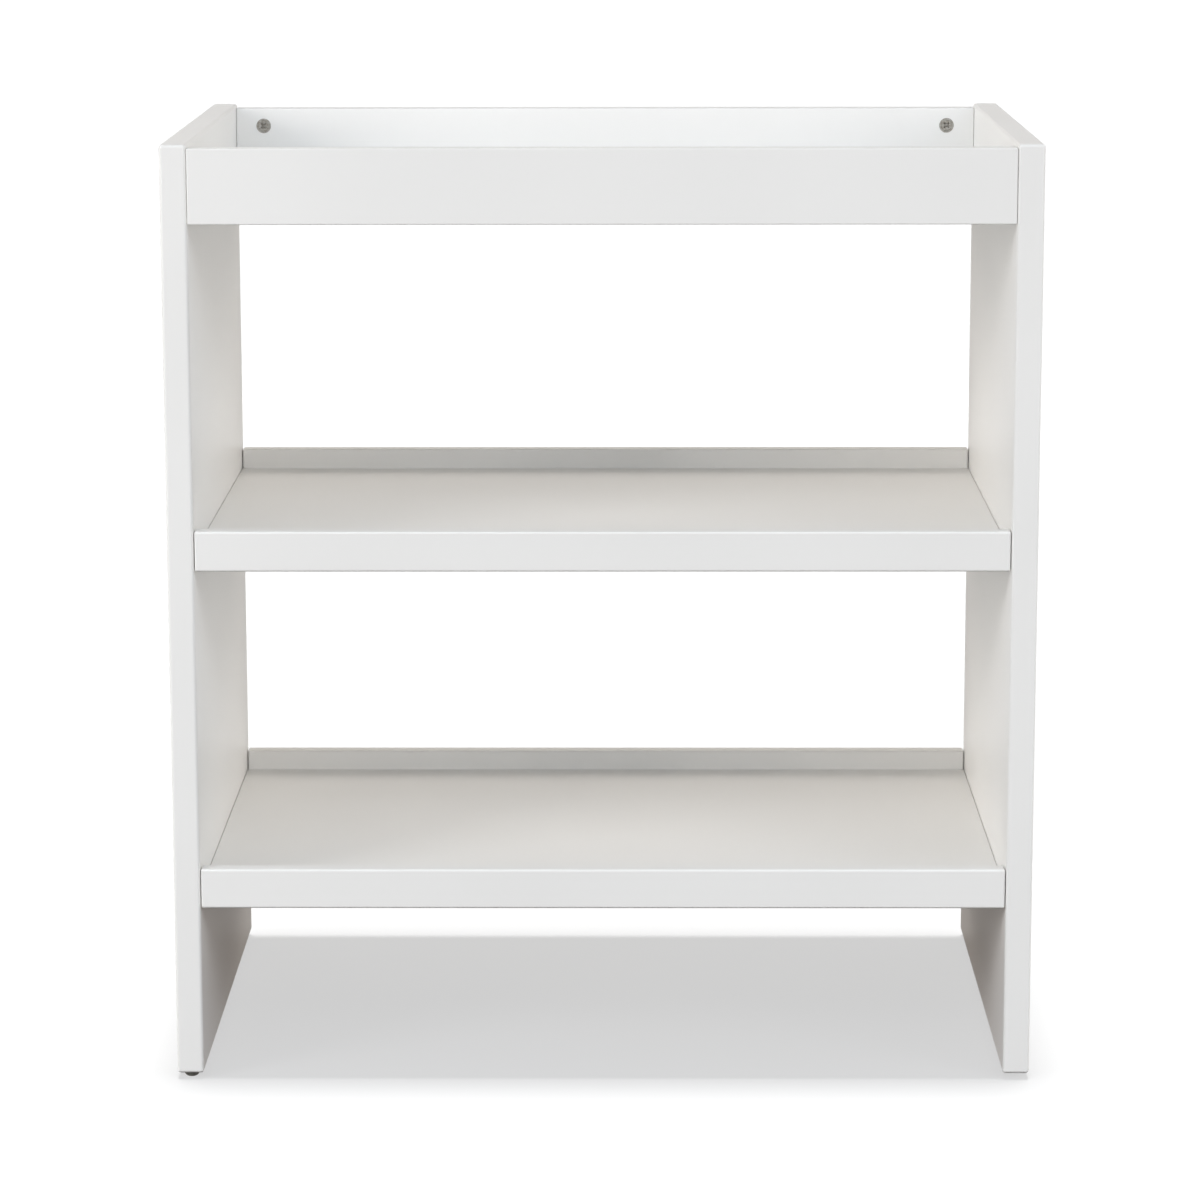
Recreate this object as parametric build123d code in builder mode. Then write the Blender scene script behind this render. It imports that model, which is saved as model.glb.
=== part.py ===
"""Open changing table: two side panels, a changing tray and two lipped shelves.

Frame: origin on the floor at the middle of the footprint, +X to the right seen from the front,
+Y to the back, +Z up. Millimetres. The front faces -Y.
"""
from build123d import *
import os

os.makedirs("parts", exist_ok=True)

# ---------------------------------------------------------------- driving dimensions
width, depth, height = 812, 520, 890       # overall, standing on its glides
glide_height = 6
panel_thickness = 25                       # side panels
board_thickness = 18                       # everything that spans between them
lowest_underside = 168.5                   # floor to the underside of the lower shelf
shelf_pitch = 324                          # underside to underside: lower shelf, middle shelf, top
rail_height = 70                           # rails round the changing tray
lip_height = 38                            # lips of the shelves

panel_rounding = 3.0                       # radius on every edge of a piece
rail_rounding = 1.2
lip_rounding = 2.2
board_rounding = 0.8
rail_end_gap = 0.2                         # from the end of a piece to each side panel
lip_end_gap = 0.8
board_end_gap = 0.4
glue_gap = 0.1                             # from a board to its rails or lips

# Cam lock joint: a headed bolt stands out of the side panel and the cam in the board pulls its head
cam_reach = 28.5                           # side panel's face to the cam's axis
cam_diameter, cam_depth = 14.8, 12.5
cam_pocket_diameter, cam_pocket_depth = 15.0, 13.0
recess_length, recess_width, recess_depth, recess_turn = 7.0, 1.4, 2.6, 45.0
bolt_bore_diameter = 8.0                   # along the board, from its end to the cam
thread_diameter, thread_length = 6.0, 11.0
collar_diameter, collar_length = 7.4, 2.0
shank_diameter = 6.0
neck_diameter, neck_start = 4.4, 20.0
bolt_head_diameter, bolt_head_start, bolt_head_end = 7.0, 25.4, 29.0
bolt_head_play = 0.3                       # round the head and the neck, inside the cam
bolt_slope = 1.0                           # of the cones that ease each change of diameter
sleeve_diameter, sleeve_length = 9.9, 12.5
sleeve_bore_diameter = 6.2
barb_count, barb_depth = 5, 0.5
sleeve_hole_diameter, sleeve_hole_depth = 10.0, 13.0

# Wood dowels
dowel_diameter, dowel_length, dowel_chamfer = 8.0, 30.0, 1.0
dowel_hole_diameter = 8.2
dowel_end_room = 0.8                       # past each end of a dowel
dowel_in_panel = 12.0                      # part of an end dowel that sits in the side panel
dowel_in_lip = 11.0                        # part of a glued dowel that sits in the lip or rail

# Places of the fastenings
rail_cam_drop, rail_dowel_drop = 18.0, 50.0            # below the top of the rail
board_cam_offset, board_dowel_offset = 160.0, 192.0    # before and behind the middle of the board
glued_dowel_places = (-285.0, -95.0, 95.0, 285.0)      # along a lip or rail

# Nail-on glides
glide_diameter, glide_foot_diameter, glide_rim = 15.0, 8.0, 1.6
glide_from_edge = {                        # front or back edge of the side panel to its centre
    "front_left": 14.0, "front_right": 30.0, "back_left": 30.0, "back_right": 30.0,
}
nail_diameter, nail_length, nail_point = 2.2, 22.0, 3.0
nail_head_diameter, nail_head_thickness, nail_head_level = 6.0, 1.2, 2.4
nail_play = 0.05

# ---------------------------------------------------------------- sizes that follow
panel_height = height - glide_height
inside_width = width - 2 * panel_thickness
half_inside = inside_width / 2
half_depth = depth / 2
half_board = board_thickness / 2
panel_centre_x = (width - panel_thickness) / 2
rail_centre_y = half_depth - half_board
rail_length = inside_width - 2 * rail_end_gap
lip_length = inside_width - 2 * lip_end_gap
board_length = inside_width - 2 * board_end_gap
board_depth = depth - 2 * board_thickness - 2 * glue_gap
nail_hole_depth = nail_head_level + nail_length - glide_height + nail_play

sides = {"left": -1, "right": 1}
ends = {"front": -1, "back": 1}
undersides = {
    "lower_shelf": lowest_underside,
    "middle_shelf": lowest_underside + shelf_pitch,
    "changing_top": lowest_underside + 2 * shelf_pitch,
}
rail_underside = undersides["changing_top"]
rail_top = rail_underside + rail_height
glide_places = {
    f"{end_name}_{side_name}": (
        side * panel_centre_x, end * (half_depth - glide_from_edge[f"{end_name}_{side_name}"])
    )
    for side_name, side in sides.items()
    for end_name, end in ends.items()
}

# Where bolts and end dowels cross from the side panels, as (y, z), the same on both sides
rail_bolts = [(end * rail_centre_y, rail_top - rail_cam_drop) for end in ends.values()]
rail_dowels = [(end * rail_centre_y, rail_top - rail_dowel_drop) for end in ends.values()]
board_bolts, board_dowels = {}, {}
for name, low in undersides.items():
    board_bolts[name] = [(end * board_cam_offset, low + half_board) for end in ends.values()]
    board_dowels[name] = [(end * board_dowel_offset, low + half_board) for end in ends.values()]
all_bolts = rail_bolts + sum(board_bolts.values(), [])
all_dowels = rail_dowels + sum(board_dowels.values(), [])


def save(piece, name):
    """Label a finished piece and write it as its own file."""
    piece.part.label = name
    export_step(piece.part, f"parts/{name}.step")


def slab(low, long, deep, thick, rounding, x=0.0, y=0.0):
    """Rounded upright or flat board in the part being built: its underside is at height low."""
    with BuildSketch(Plane.XY.offset(low)) as outline:
        with Locations((x, y)):
            Rectangle(long, deep)
    board = extrude(outline.sketch, amount=thick)
    fillet(board.edges(), radius=rounding)


def drill(plane, diameter, deep):
    """Blind hole in the part being built, from the plane against its normal."""
    with BuildSketch(plane) as mouth:
        Circle(diameter / 2)
    extrude(mouth.sketch, amount=-deep, mode=Mode.SUBTRACT)


def on_panel(side, y, z):
    """Plane on the inner face of a side panel, its normal pointing to the middle of the table."""
    return Plane(origin=(side * half_inside, y, z), x_dir=(0, 1, 0), z_dir=(-side, 0, 0))


def on_end(side, gap, y, z):
    """Plane on the end of a board or rail, its normal pointing at the side panel."""
    return Plane(origin=(side * (half_inside - gap), y, z), x_dir=(0, 1, 0), z_dir=(side, 0, 0))


def on_inner_face(end, x, z):
    """Plane on the inner face of a rail or lip, its normal pointing to the middle of the table."""
    inner_y = end * (half_depth - board_thickness)
    return Plane(origin=(x, inner_y, z), x_dir=(1, 0, 0), z_dir=(0, -end, 0))


def in_rail(side, end):
    """Plane of a cam's face in a rail, x pointing at the side panel."""
    x = side * (half_inside - cam_reach)
    y = end * (half_depth - board_thickness)
    return Plane(origin=(x, y, rail_top - rail_cam_drop), x_dir=(side, 0, 0), z_dir=(0, -end, 0))


def under_board(side, y, low):
    """Plane of a cam's face under a board, x pointing at the side panel."""
    x = side * (half_inside - cam_reach)
    return Plane(origin=(x, y, low), x_dir=(side, 0, 0), z_dir=(0, 0, -1))


# ---------------------------------------------------------------- side panels
# Rounded all over, drilled inside for bolt sleeves and dowels and below for the glides' nails
for side_name, side in sides.items():
    with BuildPart() as side_panel:
        slab(glide_height, panel_thickness, depth, panel_height, panel_rounding, x=side * panel_centre_x)
        for y, z in all_bolts:
            drill(on_panel(side, y, z), sleeve_hole_diameter, sleeve_hole_depth)
        for y, z in all_dowels:
            drill(on_panel(side, y, z), dowel_hole_diameter, dowel_in_panel + dowel_end_room)
        for end_name in ends:
            centre = (*glide_places[f"{end_name}_{side_name}"], glide_height)
            nail_hole = Plane(origin=centre, x_dir=(1, 0, 0), z_dir=(0, 0, -1))
            drill(nail_hole, nail_diameter + 2 * nail_play, nail_hole_depth)
    save(side_panel, f"side_panel_{side_name}")

# ---------------------------------------------------------------- rails of the changing tray
# Drilled in the ends for bolt and dowel, and inside for the cams and the changing top's dowels
for end_name, end in ends.items():
    with BuildPart() as rail:
        y = end * rail_centre_y
        slab(rail_underside, rail_length, board_thickness, rail_height, rail_rounding, y=y)
        for side in sides.values():
            drill(on_end(side, rail_end_gap, y, rail_top - rail_cam_drop),
                  bolt_bore_diameter, cam_reach - rail_end_gap)
            drill(on_end(side, rail_end_gap, y, rail_top - rail_dowel_drop),
                  dowel_hole_diameter, dowel_length - dowel_in_panel - rail_end_gap + dowel_end_room)
            drill(in_rail(side, end), cam_pocket_diameter, cam_pocket_depth)
        for x in glued_dowel_places:
            drill(on_inner_face(end, x, rail_underside + half_board),
                  dowel_hole_diameter, dowel_in_lip + dowel_end_room)
    save(rail, f"top_{end_name}_rail")

# ---------------------------------------------------------------- changing top and shelves
# Three equal boards: bolts and dowels in the ends, cams below, glued dowels at the front and back
for name, low in undersides.items():
    with BuildPart() as board:
        slab(low, board_length, board_depth, board_thickness, board_rounding)
        for side in sides.values():
            for y, z in board_bolts[name]:
                drill(on_end(side, board_end_gap, y, z), bolt_bore_diameter, cam_reach - board_end_gap)
                drill(under_board(side, y, low), cam_pocket_diameter, cam_pocket_depth)
            for y, z in board_dowels[name]:
                drill(on_end(side, board_end_gap, y, z),
                      dowel_hole_diameter, dowel_length - dowel_in_panel - board_end_gap + dowel_end_room)
        for end in ends.values():
            for x in glued_dowel_places:
                centre = (x, end * board_depth / 2, low + half_board)
                edge = Plane(origin=centre, x_dir=(1, 0, 0), z_dir=(0, end, 0))
                drill(edge, dowel_hole_diameter, dowel_length - dowel_in_lip - glue_gap + dowel_end_room)
    save(board, f"{name}_panel")

# ---------------------------------------------------------------- lips of the shelves
# Strips glued to the front and back edges of each shelf, flush with its underside
for name in ("lower_shelf", "middle_shelf"):
    for end_name, end in ends.items():
        with BuildPart() as lip:
            low = undersides[name]
            slab(low, lip_length, board_thickness, lip_height, lip_rounding, y=end * rail_centre_y)
            for x in glued_dowel_places:
                drill(on_inner_face(end, x, low + half_board),
                      dowel_hole_diameter, dowel_in_lip + dowel_end_room)
        save(lip, f"{name}_{end_name}_lip")

# ---------------------------------------------------------------- cam locks
# Zinc drum with a cross recess in its face, and in its side a slot and a chamber for the bolt's head.
# Own frame: face at z = 0, drum below it, bolt coming from +X at half the board's thickness
with BuildPart() as cam:
    with BuildSketch():
        Circle(cam_diameter / 2)
    extrude(amount=-cam_depth)
    with BuildSketch():
        Rectangle(recess_length, recess_width, rotation=recess_turn)
        Rectangle(recess_length, recess_width, rotation=-recess_turn)
    extrude(amount=-recess_depth, mode=Mode.SUBTRACT)
    chamber_width = bolt_head_diameter + 2 * bolt_head_play
    chamber_start = cam_reach - bolt_head_end - bolt_head_play
    chamber_length = bolt_head_end - bolt_head_start + 2 * bolt_head_play
    with BuildSketch(Plane.XY.offset(chamber_width / 2 - half_board)):
        with Locations((chamber_start + chamber_length / 2, 0)):
            Rectangle(chamber_length, chamber_width)
    extrude(amount=-chamber_width, mode=Mode.SUBTRACT)
    slot_width = neck_diameter + 2 * bolt_head_play
    with BuildSketch(Plane.XY.offset(slot_width / 2 - half_board)):
        with Locations((cam_diameter / 2, 0)):
            Rectangle(cam_diameter, slot_width)
    extrude(amount=-slot_width, mode=Mode.SUBTRACT)

for end_name, end in ends.items():
    with BuildPart() as cam_locks:
        with Locations([in_rail(side, end) for side in sides.values()]):
            add(cam.part)
    save(cam_locks, f"{end_name}_rail_cam_locks")

for name, low in undersides.items():
    faces = [under_board(side, y, low) for side in sides.values() for y, _ in board_bolts[name]]
    with BuildPart() as cam_locks:
        with Locations(faces):
            add(cam.part)
    save(cam_locks, f"{name}_cam_locks")

# ---------------------------------------------------------------- cam bolts and their sleeves
# Steel bolt turned about Z: thread below z = 0 in the side panel, collar, shank, neck and head above
thread, collar, shank = thread_diameter / 2, collar_diameter / 2, shank_diameter / 2
neck, head = neck_diameter / 2, bolt_head_diameter / 2
with BuildPart() as bolt:
    with BuildSketch(Plane.XZ):
        with BuildLine():
            Polyline(
                (0, -thread_length), (thread - bolt_slope, -thread_length),
                (thread, bolt_slope - thread_length), (thread, 0), (collar, 0), (collar, collar_length),
                (shank, collar_length), (shank, neck_start - bolt_slope), (neck, neck_start),
                (neck, bolt_head_start), (head, bolt_head_start + bolt_slope),
                (head, bolt_head_end - bolt_slope), (head - bolt_slope, bolt_head_end),
                (0, bolt_head_end), close=True,
            )
        make_face()
    revolve(axis=Axis.Z)

# Nylon sleeve turned about Z, open at both ends, with barbs that hold it in the panel
sleeve_outer, sleeve_bore = sleeve_diameter / 2, sleeve_bore_diameter / 2
barb_pitch = sleeve_length / barb_count
barbs = []
for number in range(barb_count):
    barb_top = -number * barb_pitch
    barbs += [(sleeve_outer, barb_top), (sleeve_outer - barb_depth, barb_top - barb_pitch)]
with BuildPart() as sleeve:
    with BuildSketch(Plane.XZ):
        with BuildLine():
            Polyline((sleeve_bore, 0), *barbs, (sleeve_bore, -sleeve_length), close=True)
        make_face()
    revolve(axis=Axis.Z)

for side_name, side in sides.items():
    with BuildPart() as cam_bolts:
        with Locations([on_panel(side, y, z) for y, z in all_bolts]):
            add(bolt.part)
    save(cam_bolts, f"{side_name}_cam_bolts")
    with BuildPart() as bolt_sleeves:
        with Locations([on_panel(side, y, z) for y, z in all_bolts]):
            add(sleeve.part)
    save(bolt_sleeves, f"{side_name}_bolt_sleeves")

# ---------------------------------------------------------------- dowels
# Beech pins with chamfered ends. Own frame: axis along Z, with z = 0 at the face they cross
with BuildPart() as dowel:
    with BuildSketch():
        Circle(dowel_diameter / 2)
    extrude(amount=dowel_length)
    chamfer(dowel.edges().filter_by(GeomType.CIRCLE), length=dowel_chamfer)


def save_dowels(faces, sunk, name):
    """Group of dowels that cross the given faces, each sunk behind its face by the given length."""
    with BuildPart() as dowels:
        with Locations([face.offset(-sunk) for face in faces]):
            add(dowel.part)
    save(dowels, name)


rail_end_faces = [on_panel(side, y, z) for side in sides.values() for y, z in rail_dowels]
save_dowels(rail_end_faces, dowel_in_panel, "rail_end_dowels")
for name, low in undersides.items():
    end_faces = [on_panel(side, y, z) for side in sides.values() for y, z in board_dowels[name]]
    save_dowels(end_faces, dowel_in_panel, f"{name}_end_dowels")
    glued_faces = [
        on_inner_face(end, x, low + half_board) for end in ends.values() for x in glued_dowel_places
    ]
    save_dowels(glued_faces, dowel_in_lip, f"{name}_glued_dowels")

# ---------------------------------------------------------------- glides and their nails
# Plastic bowl turned about Z, flat where it meets the floor, with room inside for the nail's head
rim, foot = glide_diameter / 2, glide_foot_diameter / 2
hole, head_room = nail_diameter / 2 + nail_play, nail_head_diameter / 2 + nail_play
room_low = nail_head_level - nail_play
room_high = nail_head_level + nail_head_thickness + nail_play
with BuildPart() as glide:
    with BuildSketch(Plane.XZ):
        with BuildLine():
            TangentArc((rim, glide_height - glide_rim), (foot, 0), tangent=(0, -1))
            Polyline(
                (foot, 0), (0, 0), (0, room_low), (head_room, room_low), (head_room, room_high),
                (hole, room_high), (hole, glide_height), (rim, glide_height),
                (rim, glide_height - glide_rim),
            )
        make_face()
    revolve(axis=Axis.Z)

nail_end = nail_head_level + nail_length
nail_collar = nail_head_level + nail_head_thickness
nail_head, nail = nail_head_diameter / 2, nail_diameter / 2
with BuildPart() as glide_nail:
    with BuildSketch(Plane.XZ):
        with BuildLine():
            Polyline(
                (0, nail_head_level), (nail_head, nail_head_level), (nail_head, nail_collar),
                (nail, nail_collar), (nail, nail_end - nail_point), (0, nail_end), close=True,
            )
        make_face()
    revolve(axis=Axis.Z)

for name, place in glide_places.items():
    with BuildPart() as foot_glide:
        with Locations(place):
            add(glide.part)
    save(foot_glide, f"glide_{name}")

with BuildPart() as glide_nails:
    with Locations(list(glide_places.values())):
        add(glide_nail.part)
save(glide_nails, "glide_nails")
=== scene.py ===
import math
import bpy
import bmesh
from mathutils import Matrix, Vector


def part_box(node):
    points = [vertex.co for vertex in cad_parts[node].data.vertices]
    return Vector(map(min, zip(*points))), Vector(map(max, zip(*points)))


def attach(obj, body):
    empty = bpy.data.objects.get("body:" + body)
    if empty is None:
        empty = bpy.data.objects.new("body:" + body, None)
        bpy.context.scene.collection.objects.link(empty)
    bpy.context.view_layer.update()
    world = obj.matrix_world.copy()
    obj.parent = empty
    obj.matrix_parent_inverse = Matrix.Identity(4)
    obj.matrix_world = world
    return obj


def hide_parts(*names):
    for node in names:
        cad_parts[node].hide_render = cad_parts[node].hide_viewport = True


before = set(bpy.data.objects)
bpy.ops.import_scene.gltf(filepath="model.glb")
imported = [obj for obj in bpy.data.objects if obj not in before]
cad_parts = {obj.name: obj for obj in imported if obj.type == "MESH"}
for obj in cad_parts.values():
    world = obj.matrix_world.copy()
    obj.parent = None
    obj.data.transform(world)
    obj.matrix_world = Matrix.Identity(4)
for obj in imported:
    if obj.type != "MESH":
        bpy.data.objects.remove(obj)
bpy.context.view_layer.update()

# ---------------------------------------------------------------- side panels
# Two upright sheets of 25 mm MDF, edges rounded over and the whole sprayed white. Blind drillings
# inside take the bolt sleeves and the dowels, and two below take the nails of the glides.
MM = 0.001
X, Y, Z = 0, 1, 2
panel_rounding = 3.0 * MM
rounding_steps = 5                              # flats across each rounded edge
hole_sides = 48
crease = math.radians(30)                       # edges that turn more than this stay sharp
weld = 0.001 * MM                               # points closer than this are one
sleeve_hole, sleeve_hole_room = 10.0 * MM, 0.5 * MM
dowel_hole, dowel_hole_room = 8.2 * MM, 0.8 * MM
nail_hole, nail_hole_room = 2.3 * MM, 0.05 * MM


def linear(colour):
    """sRGB hex, as #E9E8E4, to linear RGBA."""
    channels = [int(colour[i:i + 2], 16) / 255 for i in (1, 3, 5)]
    return [c / 12.92 if c <= 0.04045 else ((c + 0.055) / 1.055) ** 2.4 for c in channels] + [1.0]


def node(tree, kind, settings=None, stops=(), **links):
    """Adds a shader node. Settings are its properties, stops the (position, colour) points of its
    colour ramp, links its inputs: a value or another socket."""
    made = tree.nodes.new(kind)
    for name, value in (settings or {}).items():
        setattr(made, name, value)
    if stops:
        points = made.color_ramp.elements
        points.remove(points[-1])
        points[0].position, points[0].color = stops[0]
        for position, colour in stops[1:]:
            points.new(position).color = colour
    for name, value in links.items():
        socket = made.inputs[name.replace("_", " ")]
        if isinstance(value, bpy.types.NodeSocket):
            tree.links.new(value, socket)
        else:
            socket.default_value = value
    return made


def start_material(name):
    """New material with an empty tree but for its coordinates; gives the material, the tree and the
    object coordinates.
    """
    material = bpy.data.materials.new(name)
    material.use_nodes = True
    tree = material.node_tree
    tree.nodes.clear()
    return material, tree, node(tree, "ShaderNodeTexCoord").outputs["Object"]


def finish_material(tree, shader):
    """Links the last shader to a new output."""
    node(tree, "ShaderNodeOutputMaterial", Surface=shader.outputs[0])


noise_low, noise_high = 0.35, 0.65              # a noise turns from its first tone to its second here


# Satin two-part lacquer, sprayed on primed and sanded MDF: a warm white, half gloss, that drifts a
# little in tone and sheen from one pass of the gun to the next and has the gun's faint orange peel.
def satin_lacquer():
    gun_pass, peel_width = 220 * MM, 3.2 * MM
    material, tree, place = start_material("satin_white_lacquer_on_mdf")
    passes = node(tree, "ShaderNodeTexNoise", Vector=place, Scale=1 / gun_pass, Detail=1.0)
    tone = node(
        tree, "ShaderNodeValToRGB", Fac=passes.outputs["Fac"],
        stops=((noise_low, linear("#ECEBE8")), (noise_high, linear("#EEEDEA"))),
    )
    sheen = node(tree, "ShaderNodeMapRange", Value=passes.outputs["Fac"], To_Min=0.43, To_Max=0.48)
    peel = node(
        tree, "ShaderNodeTexNoise", Vector=place, Scale=1 / peel_width, Detail=1.5, Roughness=0.4,
    )
    ripple = node(tree, "ShaderNodeBump", Strength=0.35, Distance=0.03 * MM, Height=peel.outputs["Fac"])
    finish_material(tree, node(
        tree, "ShaderNodeBsdfPrincipled", Base_Color=tone.outputs["Color"], IOR=1.48,
        Roughness=sheen.outputs["Result"], Normal=ripple.outputs["Normal"],
    ))
    return material


# Medium density fibreboard as the drill leaves it: matt, light brown, of short pressed wood fibres.
def raw_fibreboard():
    fibre_width = 0.6 * MM
    material, tree, place = start_material("drilled_mdf")
    fibre = node(tree, "ShaderNodeTexNoise", Vector=place, Scale=1 / fibre_width, Detail=4.0)
    tone = node(
        tree, "ShaderNodeValToRGB", Fac=fibre.outputs["Fac"],
        stops=((noise_low, linear("#8F7350")), (noise_high, linear("#B89A70"))),
    )
    fuzz = node(tree, "ShaderNodeBump", Strength=0.6, Distance=0.1 * MM, Height=fibre.outputs["Fac"])
    finish_material(tree, node(
        tree, "ShaderNodeBsdfPrincipled", Base_Color=tone.outputs["Color"], Roughness=0.9, IOR=1.45,
        Normal=fuzz.outputs["Normal"],
    ))
    return material


lacquer, fibreboard = satin_lacquer(), raw_fibreboard()


def solids(name):
    """Lowest and highest corner of each separate solid of a CAD node."""
    shape = bmesh.new()
    shape.from_mesh(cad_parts[name].data)
    bmesh.ops.remove_doubles(shape, verts=shape.verts, dist=weld)
    unseen, found = set(shape.verts), []
    for first in shape.verts:
        if first in unseen:
            unseen.discard(first)
            joined = [first]
            for vert in joined:
                for edge in vert.link_edges:
                    other = edge.other_vert(vert)
                    if other in unseen:
                        unseen.discard(other)
                        joined.append(other)
            found.append([
                Vector([pick(vert.co[axis] for vert in joined) for axis in (X, Y, Z)])
                for pick in (min, max)
            ])
    shape.free()
    return found


def bake_modifiers(piece):
    """Replaces the piece's mesh by what its modifiers make of it."""
    made = bpy.data.meshes.new_from_object(piece.evaluated_get(bpy.context.evaluated_depsgraph_get()))
    raw, piece.data = piece.data, made
    piece.modifiers.clear()
    bpy.data.meshes.remove(raw)
    made.name = piece.name


def as_object(shape, name, *materials):
    """Puts a finished bmesh in the scene under a name."""
    mesh = bpy.data.meshes.new(name)
    shape.to_mesh(mesh)
    shape.free()
    for material in materials:
        mesh.materials.append(material)
    made = bpy.data.objects.new(name, mesh)
    bpy.context.scene.collection.objects.link(made)
    return made


def cut(piece, tool_shape):
    """Takes the tool's shape out of the piece."""
    tool = as_object(tool_shape, "tool")
    boolean = piece.modifiers.new("cut", "BOOLEAN")
    boolean.operation, boolean.solver, boolean.use_self = "DIFFERENCE", "EXACT", True
    boolean.object = tool
    bake_modifiers(piece)
    mesh = tool.data
    bpy.data.objects.remove(tool)
    bpy.data.meshes.remove(mesh)


def settle(piece, slot, *nodes):
    """Smooths the round faces, hangs the piece on the root, and hides the CAD nodes it stands for."""
    piece.data.shade_smooth()
    piece.data.set_sharp_from_angle(angle=crease)
    weighted = piece.modifiers.new("flat_faces", "WEIGHTED_NORMAL")
    weighted.keep_sharp = True
    bake_modifiers(piece)
    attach(piece, "root")
    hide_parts(*nodes)


def drill(tool, board_name, node_name, axis, diameter, room):
    """Adds to the tool a drilling along each solid of a CAD node that enters the board."""
    board_low, board_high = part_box(board_name)
    direction = Vector([float(axis == a) for a in (X, Y, Z)])
    turn = Vector((0, 0, 1)).rotation_difference(direction).to_matrix().to_4x4()
    for low, high in solids(node_name):
        if all(low[a] < board_high[a] and high[a] > board_low[a] for a in (X, Y, Z)):
            bmesh.ops.create_cone(
                tool, cap_ends=True, segments=hole_sides, radius1=diameter / 2, radius2=diameter / 2,
                depth=high[axis] - low[axis] + 2 * room,
                matrix=Matrix.Translation((low + high) / 2) @ turn,
            )


def lacquered_board(name, rounding, drillings):
    """Board in the box of its CAD node. A drilling is a CAD node, an axis, a diameter and room."""
    low, high = (Vector(corner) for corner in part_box(name))
    shape = bmesh.new()
    bmesh.ops.create_cube(shape, size=1.0)
    bmesh.ops.scale(shape, vec=high - low, verts=shape.verts)
    bmesh.ops.translate(shape, vec=(low + high) / 2, verts=shape.verts)
    bmesh.ops.bevel(
        shape, geom=shape.edges[:], offset=rounding, segments=rounding_steps, profile=0.5,
        affect="EDGES", material=-1,
    )
    tool = bmesh.new()
    for drilling in drillings:
        drill(tool, name, *drilling)
    for face in tool.faces:
        face.material_index = 1
    board = as_object(shape, f"lacquered_{name}", lacquer, fibreboard)
    cut(board, tool)
    settle(board, "white_lacquer", name)


end_dowels = ["rail_end_dowels"]
end_dowels += [f"{board}_end_dowels" for board in ("changing_top", "middle_shelf", "lower_shelf")]
for side in ("left", "right"):
    lacquered_board(f"side_panel_{side}", panel_rounding, [
        (f"{side}_bolt_sleeves", X, sleeve_hole, sleeve_hole_room),
        *[(dowels, X, dowel_hole, dowel_hole_room) for dowels in end_dowels],
        ("glide_nails", Z, nail_hole, nail_hole_room),
    ])

# ---------------------------------------------------------------- rails of the changing tray
# Front and back strips of 18 mm MDF, 70 mm tall, lacquered like the panels. Bored in the ends for
# bolts and dowels, inside for the cam locks and for the dowels of the changing top.
rail_rounding = 1.2 * MM
bolt_bore, bolt_bore_room = 8.0 * MM, 0.3 * MM
cam_pocket, cam_pocket_room = 15.0 * MM, 0.5 * MM

for end in ("front", "back"):
    lacquered_board(f"top_{end}_rail", rail_rounding, [
        ("left_cam_bolts", X, bolt_bore, bolt_bore_room),
        ("right_cam_bolts", X, bolt_bore, bolt_bore_room),
        ("rail_end_dowels", X, dowel_hole, dowel_hole_room),
        (f"{end}_rail_cam_locks", Y, cam_pocket, cam_pocket_room),
        ("changing_top_glued_dowels", Y, dowel_hole, dowel_hole_room),
    ])

# ---------------------------------------------------------------- changing top and shelves
# Three equal boards of 18 mm lacquered MDF, their edges just broken. Each hangs on four bolts that
# cam locks in its underside draw tight, with a dowel beside each, and is glued to its rails or lips.
board_rounding = 0.8 * MM

for name in ("changing_top", "middle_shelf", "lower_shelf"):
    lacquered_board(f"{name}_panel", board_rounding, [
        ("left_cam_bolts", X, bolt_bore, bolt_bore_room),
        ("right_cam_bolts", X, bolt_bore, bolt_bore_room),
        (f"{name}_end_dowels", X, dowel_hole, dowel_hole_room),
        (f"{name}_cam_locks", Z, cam_pocket, cam_pocket_room),
        (f"{name}_glued_dowels", Y, dowel_hole, dowel_hole_room),
    ])

# ---------------------------------------------------------------- lips of the shelves
# Lacquered MDF strips, 38 mm tall, glued on dowels to the front and back edges of both shelves so
# that nothing rolls off. Flush with the shelf's underside, rounded more than the boards.
lip_rounding = 2.2 * MM

for name in ("middle_shelf", "lower_shelf"):
    for end in ("front", "back"):
        lacquered_board(f"{name}_{end}_lip", lip_rounding, [
            (f"{name}_glued_dowels", Y, dowel_hole, dowel_hole_room),
        ])

# ---------------------------------------------------------------- dowels
# Beech pins, 8 by 30 mm, with chamfered ends and pressed flutes that let air and glue out. Pushed
# into the drillings of panels, rails, lips and boards.
dowel_radius, dowel_length, dowel_chamfer = 4.0, 30.0, 1.0
dowel_sides = 60
flute_every, flute_squeeze = 3, 0.93            # every third ridge is pressed in by 7%
pin_core = 1.0                                  # what is nearer the axis than this isn't a ridge


def turned(profile, steps):
    """Solid turned about Z from (radius, height) pairs in millimetres."""
    shape = bmesh.new()
    points = [shape.verts.new((radius * MM, 0, height * MM)) for radius, height in profile]
    lines = [shape.edges.new(pair) for pair in zip(points, points[1:])]
    bmesh.ops.spin(
        shape, geom=points + lines, cent=(0, 0, 0), axis=(0, 0, 1), angle=math.tau, steps=steps,
        use_merge=True,
    )
    bmesh.ops.remove_doubles(shape, verts=shape.verts, dist=weld)
    bmesh.ops.recalc_face_normals(shape, faces=shape.faces)
    return shape


def stood(origin, z_axis, x_axis=(0, 1, 0)):
    """Place of a fastening whose own Z and X point along the given axes."""
    z_axis, x_axis = Vector(z_axis), Vector(x_axis)
    turn = Matrix((x_axis, z_axis.cross(x_axis), z_axis)).transposed()
    return Matrix.Translation(origin) @ turn.to_4x4()


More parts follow.
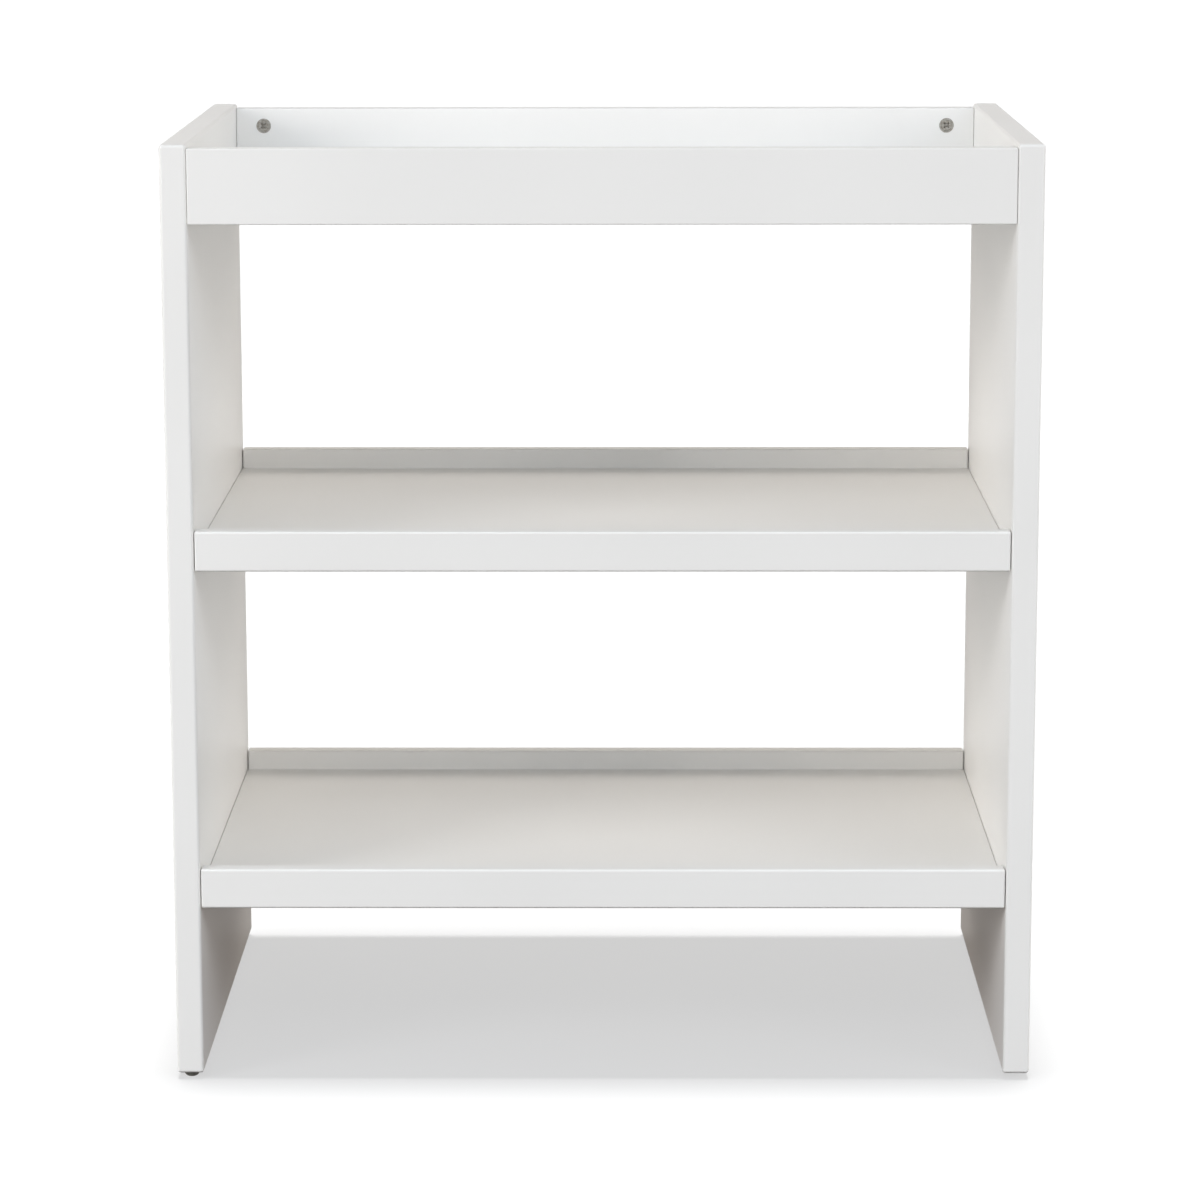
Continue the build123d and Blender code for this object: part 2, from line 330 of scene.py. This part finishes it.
def copies(shape, places):
    """One bmesh with the shape at each place."""
    pattern = bpy.data.meshes.new("pattern")
    shape.to_mesh(pattern)
    shape.free()
    together = bmesh.new()
    for place in places:
        copy = pattern.copy()
        copy.transform(place)
        together.from_mesh(copy)
        bpy.data.meshes.remove(copy)
    bpy.data.meshes.remove(pattern)
    return together


# Steamed beech: pale pinkish brown with a fine straight grain along the pin and short darker flecks.
def beech(axis):
    grain_width, grain_stretch = 0.7 * MM, 0.06     # a fleck is sixteen times longer than it is wide
    material, tree, place = start_material(f"beech_grain_along_{'xyz'[axis]}")
    stretch = [1.0, 1.0, 1.0]
    stretch[axis] = grain_stretch
    along = node(tree, "ShaderNodeMapping", Vector=place, Scale=stretch)
    grain = node(
        tree, "ShaderNodeTexNoise", Vector=along.outputs["Vector"], Scale=1 / grain_width, Detail=3.0,
    )
    tone = node(
        tree, "ShaderNodeValToRGB", Fac=grain.outputs["Fac"],
        stops=((noise_low, linear("#C79F70")), (noise_high, linear("#E0BC8C"))),
    )
    pores = node(tree, "ShaderNodeBump", Strength=0.4, Distance=0.05 * MM, Height=grain.outputs["Fac"])
    finish_material(tree, node(
        tree, "ShaderNodeBsdfPrincipled", Base_Color=tone.outputs["Color"], Roughness=0.65, IOR=1.5,
        Normal=pores.outputs["Normal"],
    ))
    return material


def fluted_dowel():
    half, tip_radius = dowel_length / 2, dowel_radius - dowel_chamfer
    shape = turned([
        (0, -half), (tip_radius, -half), (dowel_radius, dowel_chamfer - half),
        (dowel_radius, half - dowel_chamfer), (tip_radius, half), (0, half),
    ], dowel_sides)
    flutes = [
        vert for vert in shape.verts if vert.co.xy.length > pin_core * MM
        and round(math.atan2(vert.co.y, vert.co.x) / math.tau * dowel_sides) % flute_every == 0
    ]
    bmesh.ops.scale(shape, vec=(flute_squeeze, flute_squeeze, 1), verts=flutes)
    return shape


glued_dowels = [f"{name}_glued_dowels" for name in ("changing_top", "middle_shelf", "lower_shelf")]
for names, axis, direction in ((end_dowels, X, (1, 0, 0)), (glued_dowels, Y, (0, 1, 0))):
    wood = beech(axis)
    for name in names:
        places = [stood((low + high) / 2, direction, (0, 0, 1)) for low, high in solids(name)]
        settle(as_object(copies(fluted_dowel(), places), f"fluted_{name}", wood), "beech", name)

# ---------------------------------------------------------------- bolt sleeves
# Moulded nylon plugs, 10 mm across, with five barbed rings. Pressed into the panels' drillings, where
# the bolt's thread spreads them.
sleeve_radius, sleeve_length, sleeve_bore = 4.95, 12.5, 3.1
barb_count, barb_depth, barb_crest = 5, 0.5, 0.3
barb_pitch = sleeve_length / barb_count


# Natural nylon: milky and slightly translucent, with the soft sheen of a polished mould.
def natural_nylon():
    cloud_width = 4 * MM
    material, tree, place = start_material("moulded_natural_nylon")
    cloud = node(tree, "ShaderNodeTexNoise", Vector=place, Scale=1 / cloud_width, Detail=2.0)
    tone = node(
        tree, "ShaderNodeValToRGB", Fac=cloud.outputs["Fac"],
        stops=((noise_low, linear("#E2DDCF")), (noise_high, linear("#EEEADF"))),
    )
    finish_material(tree, node(
        tree, "ShaderNodeBsdfPrincipled", Base_Color=tone.outputs["Color"], Roughness=0.42, IOR=1.53,
        Subsurface_Weight=0.15, Subsurface_Scale=1 * MM,
    ))
    return material


barbs = []
for number in range(barb_count):
    top = -number * barb_pitch
    barbs += [
        (sleeve_radius, top), (sleeve_radius, top - barb_crest),
        (sleeve_radius - barb_depth, top - barb_pitch),
    ]
sleeve_profile = [(sleeve_bore, 0), *barbs, (sleeve_bore, -sleeve_length), (sleeve_bore, 0)]
nylon = natural_nylon()
inner_face = {"left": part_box("side_panel_left")[1][X], "right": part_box("side_panel_right")[0][X]}
inwards = {"left": (1, 0, 0), "right": (-1, 0, 0)}


def panel_places(name, side):
    """Places on a panel's inner face, one for each solid of a CAD node, that point into the table."""
    return [
        stood((inner_face[side], (low.y + high.y) / 2, (low.z + high.z) / 2), inwards[side])
        for low, high in solids(name)
    ]


for side in ("left", "right"):
    name = f"{side}_bolt_sleeves"
    sleeves = copies(turned(sleeve_profile, hole_sides), panel_places(name, side))
    settle(as_object(sleeves, f"barbed_{name}", nylon), "nylon", name)

# ---------------------------------------------------------------- cam bolts
# Turned steel bolts, zinc plated: M6 thread in the sleeve, collar against the panel, shank, and a
# neck and head that the cam lock draws in.
thread_length, thread_pitch, thread_radius, thread_root = 11, 1.0, 3.0, 2.4
thread_flank, thread_crest = 0.1, 0.5           # where a turn's flank starts, and its crest
collar_radius, shank_radius, neck_radius, bolt_head_radius = 3.7, 3.0, 2.2, 3.5
collar_end, shank_end, neck_start, neck_end = 2, 19, 20, 25.4
head_start, head_side_end, bolt_end = 26.4, 28, 29
thread_lead, turned_edge, head_edge, head_cone = 0.6, 0.3, 0.4, 1.0
bolt_sides = 32


# Bright zinc plating on turned steel: light grey metal, softly mirror-like, with fine tool rings.
def zinc_plated_steel():
    cloud_width, ring_spacing = 3 * MM, 0.6 * MM
    material, tree, place = start_material("zinc_plated_turned_steel")
    clouds = node(tree, "ShaderNodeTexNoise", Vector=place, Scale=1 / cloud_width, Detail=3.0)
    tone = node(
        tree, "ShaderNodeValToRGB", Fac=clouds.outputs["Fac"],
        stops=((noise_low, linear("#B4B7B9")), (noise_high, linear("#CBCDCE"))),
    )
    sheen = node(tree, "ShaderNodeMapRange", Value=clouds.outputs["Fac"], To_Min=0.22, To_Max=0.36)
    rings = node(
        tree, "ShaderNodeTexWave", {"bands_direction": "X"}, Vector=place, Scale=1 / ring_spacing,
        Distortion=0.5,
    )
    turning = node(
        tree, "ShaderNodeBump", Strength=0.15, Distance=0.02 * MM, Height=rings.outputs["Fac"],
    )
    finish_material(tree, node(
        tree, "ShaderNodeBsdfPrincipled", Base_Color=tone.outputs["Color"], Metallic=1.0,
        Roughness=sheen.outputs["Result"], Normal=turning.outputs["Normal"],
    ))
    return material


thread = []
for turn in range(thread_length):
    start = -thread_length + turn * thread_pitch
    thread += [
        (thread_root, start + thread_flank), (thread_radius, start + thread_crest),
        (thread_root, start + thread_pitch - thread_flank),
    ]
bolt_profile = [
    (0, -thread_length), (thread_root - thread_lead, -thread_length), *thread, (thread_root, 0),
    (collar_radius - turned_edge, 0), (collar_radius, turned_edge),
    (collar_radius, collar_end - turned_edge), (collar_radius - turned_edge, collar_end),
    (shank_radius, collar_end), (shank_radius, shank_end),
    (neck_radius, neck_start), (neck_radius, neck_end),
    (bolt_head_radius, head_start), (bolt_head_radius, head_side_end),
    (bolt_head_radius - head_edge, bolt_end - turned_edge),
    (bolt_head_radius - head_cone, bolt_end), (0, bolt_end),
]
steel = zinc_plated_steel()
for side in ("left", "right"):
    name = f"{side}_cam_bolts"
    bolts = copies(turned(bolt_profile, bolt_sides), panel_places(name, side))
    settle(as_object(bolts, f"turned_{name}", steel), "plated_steel", name)

# ---------------------------------------------------------------- cam locks
# Zinc drums, 15 mm across, die cast with a cross recess, a rim and a pointer in the face, and a slot
# and chamber in the side that take the bolt's head. Dropped in their pockets and turned tight.
cam_radius, cam_depth, cam_edge, cam_edge_bulge = 7.4, 12.5, 0.4, 0.12
rim_inside, rim_slope, face_sink = 5.4, 0.4, 0.8
bolt_level = 9.0                                # below the cam's face
chamber_start, chamber_end, chamber_half = -0.8, 3.4, 3.8
slot_half = 2.5
recess_size, recess_taper = (8.4, 2.0, 3.4), (0.55, 0.75, 1.0)
cross_turns = (45, -45)                         # of the cross's two bars, in degrees
hub_top, hub_bottom, hub_below_cross, hub_sides = 2.3, 1.2, 0.4, 24
pointer_radius, pointer_place, pointer_depth, pointer_sides = 0.75, 6.4, 0.35, 3
tool_room = 0.4                                 # cutting tools start this far above the face


# Die-cast zinc alloy, tumbled: mid grey, dull, mottled where the melt met the mould, with a fine
# grain and a brown tinge in places.
def cast_zinc():
    mottle_width, grain_width = 2.5 * MM, 0.35 * MM
    material, tree, place = start_material("tumbled_die_cast_zinc")
    mottle = node(tree, "ShaderNodeTexNoise", Vector=place, Scale=1 / mottle_width, Detail=4.0)
    tone = node(
        tree, "ShaderNodeValToRGB", Fac=mottle.outputs["Fac"],
        stops=((noise_low, linear("#A09A90")), (noise_high, linear("#BEBBB5"))),
    )
    sheen = node(tree, "ShaderNodeMapRange", Value=mottle.outputs["Fac"], To_Min=0.40, To_Max=0.58)
    grain = node(tree, "ShaderNodeTexNoise", Vector=place, Scale=1 / grain_width, Detail=2.0)
    tumbled = node(
        tree, "ShaderNodeBump", Strength=0.5, Distance=0.03 * MM, Height=grain.outputs["Fac"],
    )
    finish_material(tree, node(
        tree, "ShaderNodeBsdfPrincipled", Base_Color=tone.outputs["Color"], Metallic=0.85,
        Roughness=sheen.outputs["Result"], Normal=tumbled.outputs["Normal"],
    ))
    return material


def block(shape, low, high):
    """Adds a rectangular block between two corners in millimetres, and gives its vertices."""
    low, high = Vector(low) * MM, Vector(high) * MM
    made = bmesh.ops.create_cube(shape, size=1.0)["verts"]
    bmesh.ops.scale(shape, vec=high - low, verts=made)
    bmesh.ops.translate(shape, vec=(low + high) / 2, verts=made)
    return made


def cam_lock():
    """Mesh of one cam: face at z = 0, drum below, bolt coming from +X."""
    drum = turned([
        (0, -face_sink), (rim_inside, -face_sink), (rim_inside + rim_slope, 0),
        (cam_radius - cam_edge, 0), (cam_radius - cam_edge_bulge, -cam_edge_bulge),
        (cam_radius, -cam_edge), (cam_radius, cam_edge - cam_depth),
        (cam_radius - cam_edge, -cam_depth), (0, -cam_depth),
    ], hole_sides)
    tool = bmesh.new()
    half_long, half_wide, deep = recess_size[0] / 2, recess_size[1] / 2, recess_size[2]
    for angle in cross_turns:
        bar = block(tool, (-half_long, -half_wide, -deep), (half_long, half_wide, tool_room))
        bottom = [vert for vert in bar if vert.co.z < 0]
        bmesh.ops.scale(tool, vec=recess_taper, verts=bottom)
        turn = Matrix.Rotation(math.radians(angle), 3, "Z")
        bmesh.ops.rotate(tool, cent=(0, 0, 0), matrix=turn, verts=bar)
    hub_depth = deep + hub_below_cross + tool_room
    bmesh.ops.create_cone(
        tool, cap_ends=True, segments=hub_sides, radius1=hub_bottom * MM, radius2=hub_top * MM,
        depth=hub_depth * MM, matrix=Matrix.Translation((0, 0, (tool_room - hub_depth / 2) * MM)),
    )
    outwards = Matrix.Rotation(math.radians(-90), 4, "Z")
    bmesh.ops.create_cone(
        tool, cap_ends=True, segments=pointer_sides, radius1=pointer_radius * MM,
        radius2=pointer_radius * MM, depth=2 * pointer_depth * MM,
        matrix=Matrix.Translation((pointer_place * MM, 0, 0)) @ outwards,
    )
    block(tool, (chamber_start, -chamber_half, -bolt_level - chamber_half),
          (chamber_end, chamber_half, chamber_half - bolt_level))
    block(tool, (0, -slot_half, -bolt_level - slot_half),
          (2 * cam_radius, slot_half, slot_half - bolt_level))
    piece = as_object(drum, "cam_lock")
    cut(piece, tool)
    shape = bmesh.new()
    shape.from_mesh(piece.data)
    mesh = piece.data
    bpy.data.objects.remove(piece)
    bpy.data.meshes.remove(mesh)
    return shape


def cam_places(name, normal):
    """Place of each cam of a CAD node whose faces look along the normal."""
    normal = Vector(normal)
    places = []
    for low, high in solids(name):
        middle, reach = (low + high) / 2, (high - low) / 2
        face = middle + Vector([n * r for n, r in zip(normal, reach)])
        places.append(stood(face, normal, (math.copysign(1, middle.x), 0, 0)))
    return places


zinc = cast_zinc()
cam_faces = {
    "front_rail": (0, 1, 0), "back_rail": (0, -1, 0),
    "changing_top": (0, 0, -1), "middle_shelf": (0, 0, -1), "lower_shelf": (0, 0, -1),
}
for owner, normal in cam_faces.items():
    name = f"{owner}_cam_locks"
    cams = copies(cam_lock(), cam_places(name, normal))
    settle(as_object(cams, f"cast_{name}", zinc), "zinc", name)

# ---------------------------------------------------------------- glides and their nails
# Dark grey polypropylene bowls moulded round a steel nail and driven into the underside of each
# panel at the front and back. They lift the panel 6 mm off the floor.
glide_rim, glide_flat, glide_tall, glide_edge = 7.5, 3.5, 6.0, 0.4
bowl_side = ((4.0, 0.08), (5.2, 0.65), (6.3, 1.6), (7.1, 2.9))      # (radius, height) up to the rim
rim_low = 4.4
nail_radius, nail_head_radius, nail_low, nail_head_top = 1.1, 3.0, 2.4, 3.6
nail_head_edge, nail_point, nail_tip, nail_sides = 0.2, 3, 24.4, 24
play = 0.05                                     # between nail and plastic


# Moulded polypropylene: dark grey, waxy, with the fine even grain of a spark-eroded mould.
def moulded_polypropylene():
    flow_width, grain_width = 6 * MM, 0.4 * MM
    material, tree, place = start_material("moulded_grey_polypropylene")
    flow = node(tree, "ShaderNodeTexNoise", Vector=place, Scale=1 / flow_width, Detail=1.0)
    tone = node(
        tree, "ShaderNodeValToRGB", Fac=flow.outputs["Fac"],
        stops=((noise_low, linear("#6C6D68")), (noise_high, linear("#797A74"))),
    )
    grain = node(tree, "ShaderNodeTexNoise", Vector=place, Scale=1 / grain_width, Detail=2.0)
    eroded = node(tree, "ShaderNodeBump", Strength=0.4, Distance=0.02 * MM, Height=grain.outputs["Fac"])
    finish_material(tree, node(
        tree, "ShaderNodeBsdfPrincipled", Base_Color=tone.outputs["Color"], Roughness=0.45, IOR=1.49,
        Normal=eroded.outputs["Normal"],
    ))
    return material


plastic = moulded_polypropylene()
glide_profile = [
    (0, 0), (glide_flat, 0), *bowl_side, (glide_rim, rim_low), (glide_rim, glide_tall - glide_edge),
    (glide_rim - glide_edge, glide_tall), (nail_radius + play, glide_tall),
    (nail_radius + play, nail_head_top + play), (nail_head_radius + play, nail_head_top + play),
    (nail_head_radius + play, nail_low - play), (0, nail_low - play),
]


def floor_place(low, high):
    """Place on the floor below the middle of a box."""
    return Matrix.Translation(((low[X] + high[X]) / 2, (low[Y] + high[Y]) / 2, 0))


for corner in ("front_left", "front_right", "back_left", "back_right"):
    name = f"glide_{corner}"
    bowl = copies(turned(glide_profile, hole_sides), [floor_place(*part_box(name))])
    settle(as_object(bowl, f"moulded_{name}", plastic), "dark_plastic", name)

nail_profile = [
    (0, nail_low), (nail_head_radius - nail_head_edge, nail_low),
    (nail_head_radius, nail_low + nail_head_edge), (nail_head_radius, nail_head_top - nail_head_edge),
    (nail_head_radius - nail_head_edge, nail_head_top), (nail_radius, nail_head_top),
    (nail_radius, nail_tip - nail_point), (0, nail_tip),
]
places = [floor_place(low, high) for low, high in solids("glide_nails")]
nails = copies(turned(nail_profile, nail_sides), places)
settle(as_object(nails, "drawn_glide_nails", steel), "plated_steel", "glide_nails")

# ---------------------------------------------------------------- floor
# White studio floor that runs out of sight. It glows faintly, takes the soft shadow of a lamp of
# its own overhead, and throws no light back at the table. In reflections alone its glow carries a
# painted shadow of the table: the lacquer mirrors it dimmer and browner close to the table.
floor_span, floor_glow = 120.0, 0.58
# Painted shadow of the table in the floor's glow, seen only in reflections: dark brown close in.
painted_shadow_in_reflections = ((0.2, "#6C3800"), (0.9, "#E3D8C8"), (1.0, "#FFFFFF"))    # by metres from the middle
floor_lamp_power, floor_lamp_spread, floor_lamp_tilt = 7.6, math.radians(8), math.radians(-1.6)
floor_mesh = bmesh.new()
bmesh.ops.create_grid(floor_mesh, x_segments=1, y_segments=1, size=floor_span / 2)
floor = as_object(floor_mesh, "studio_floor")
floor.visible_diffuse = False
floor.visible_shadow = False
paper, tree, place = start_material("white_studio_paper")
matt = node(tree, "ShaderNodeBsdfDiffuse", Color=linear("#6C6C6C"))
distance = node(tree, "ShaderNodeVectorMath", {"operation": "LENGTH"}, Vector=place)
# Colour of the painted shadow, by distance from the floor's middle under the table.
reflected_painted_shadow = node(
    tree, "ShaderNodeValToRGB", Fac=distance.outputs["Value"],
    stops=[(reach, linear(shade)) for reach, shade in painted_shadow_in_reflections],
)
# Glossy rays see the painted shadow; all other rays see the floor's glow white.
seen_floor = node(
    tree, "ShaderNodeMixRGB", Fac=node(tree, "ShaderNodeLightPath").outputs["Is Glossy Ray"],
    Color1=linear("#FFFFFF"), Color2=reflected_painted_shadow.outputs["Color"],
)
glow = node(tree, "ShaderNodeEmission", Color=seen_floor.outputs["Color"], Strength=floor_glow)
both = node(tree, "ShaderNodeAddShader")
tree.links.new(matt.outputs["BSDF"], both.inputs[0])
tree.links.new(glow.outputs["Emission"], both.inputs[1])
finish_material(tree, both)
paper.cycles.emission_sampling = "NONE"
floor.data.materials.append(paper)

floor_only = bpy.data.collections.new("floor_only")
floor_only.objects.link(floor)
lamp = bpy.data.lights.new("floor_lamp", "SUN")
lamp.energy, lamp.angle = floor_lamp_power, floor_lamp_spread
floor_lamp = bpy.data.objects.new("floor_lamp", lamp)
floor_lamp.rotation_euler = (floor_lamp_tilt, 0, 0)
floor_lamp.light_linking.receiver_collection = floor_only
bpy.context.scene.collection.objects.link(floor_lamp)

# ---------------------------------------------------------------- light on the table
# A dim room with a pale band of light all round at mid height, brighter in front, tall softboxes at
# the front left and right, and smaller ones behind and at the sides that show in no surface.
room_ahead = ((0.25, 0.0), (0.35, 1.96), (0.60, 1.96), (0.70, 0.30))     # (height, brightness)
room_behind = ((0.25, 0.48), (0.35, 1.67), (0.60, 1.67), (0.70, 0.0))
cool_tint, warm_tint, lamp_tint = (0.91, 0.98, 1.07), (1.05, 0.99, 0.93), (1.03, 0.995, 0.97)
room_peak = 2.2
seam, horizon = 0.1, 0.05                       # how softly the room's halves, and floor and room, meet
world = bpy.data.worlds.new("studio")
bpy.context.scene.world = world
world.use_nodes = True
tree = world.node_tree
tree.nodes.clear()
direction = node(tree, "ShaderNodeTexCoord").outputs["Generated"]
split = node(tree, "ShaderNodeSeparateXYZ", Vector=direction)
halves = []
for levels, tint in ((room_ahead, cool_tint), (room_behind, warm_tint)):
    stops = [(height, [part * level / room_peak for part in tint] + [1]) for height, level in levels]
    ramp = node(tree, "ShaderNodeValToRGB", stops=stops, Fac=split.outputs["Z"])
    halves.append(ramp.outputs["Color"])
behind = node(tree, "ShaderNodeMapRange", Value=split.outputs["Y"], From_Min=-seam, From_Max=seam)
room = node(tree, "ShaderNodeMixRGB", Fac=behind.outputs["Result"], Color1=halves[0], Color2=halves[1])
above = node(
    tree, "ShaderNodeMapRange", Value=split.outputs["Z"], From_Min=-horizon, From_Max=horizon,
    To_Max=room_peak,
)
background = node(
    tree, "ShaderNodeBackground", Color=room.outputs["Color"], Strength=above.outputs["Result"],
)
node(tree, "ShaderNodeOutputWorld", Surface=background.outputs["Background"])


def softbox(name, place, target, size, power, mirrored=True):
    """Rectangular area light turned to a target, in metres and watts."""
    lamp = bpy.data.lights.new(name, "AREA")
    lamp.shape, lamp.energy, lamp.color = "RECTANGLE", power, lamp_tint
    lamp.size, lamp.size_y = size
    box = bpy.data.objects.new(name, lamp)
    box.location = place
    box.visible_glossy = mirrored
    box.rotation_euler = (Vector(target) - box.location).to_track_quat("-Z", "Y").to_euler()
    bpy.context.scene.collection.objects.link(box)


middle, upright = (0, 0, 0.5), (0, 0, 1.25)
softbox("key_left", (-3.3, -2.6, 1.6), middle, (1.6, 1.6), 38.6)
softbox("tall_left", (-3.3, -2.6, 1.25), upright, (1.4, 2.4), 49.5)
softbox("tall_right", (3.3, -2.6, 1.25), upright, (1.4, 2.4), 46.0)
softbox("low_right", (2.6, -3.6, 0.8), middle, (1.6, 1.2), 13.1)
softbox("fill_right", (2.2, -3.4, 1.7), middle, (1.6, 1.6), 4.0)
softbox("fill_left", (-2.2, -3.4, 1.7), middle, (1.6, 1.6), 4.1)
softbox("back", (0, 4.5, 0.5), middle, (1.0, 0.8), 32.0, mirrored=False)
softbox("side_left", (-4.5, 0, 0.5), middle, (0.5, 1.2), 16.0, mirrored=False)
softbox("side_right", (4.5, 0, 0.5), middle, (0.5, 1.2), 16.0, mirrored=False)

# ---------------------------------------------------------------- camera
# A long lens four metres in front of the table, almost straight ahead, above the height of the tray
# and tilted down to it. It has no shift, so the table stays whole in the frame from every side.
camera_place = (0.02494, -4.11519, 1.20448)
yaw, pitch, roll = -0.00704, 0.18928, -0.00138  # radians
sensor_width, lens_length, farthest = 36.0, 126.17, 100.0
camera_data = bpy.data.cameras.new("camera")
camera_data.sensor_width = sensor_width
camera_data.lens = lens_length
camera = bpy.data.objects.new("camera", camera_data)
bpy.context.scene.collection.objects.link(camera)
bpy.context.scene.camera = camera
forward = Vector((math.sin(yaw) * math.cos(pitch), math.cos(yaw) * math.cos(pitch), -math.sin(pitch)))
right = Vector((math.cos(yaw), -math.sin(yaw), 0))
up = right.cross(forward)
right_rolled = math.cos(roll) * right + math.sin(roll) * up
up_rolled = right_rolled.cross(forward)
turn = Matrix((right_rolled, up_rolled, -forward)).transposed()
camera.matrix_world = Matrix.Translation(camera_place) @ turn.to_4x4()
camera_data.clip_end = farthest
bpy.context.scene.view_settings.view_transform = "Standard"
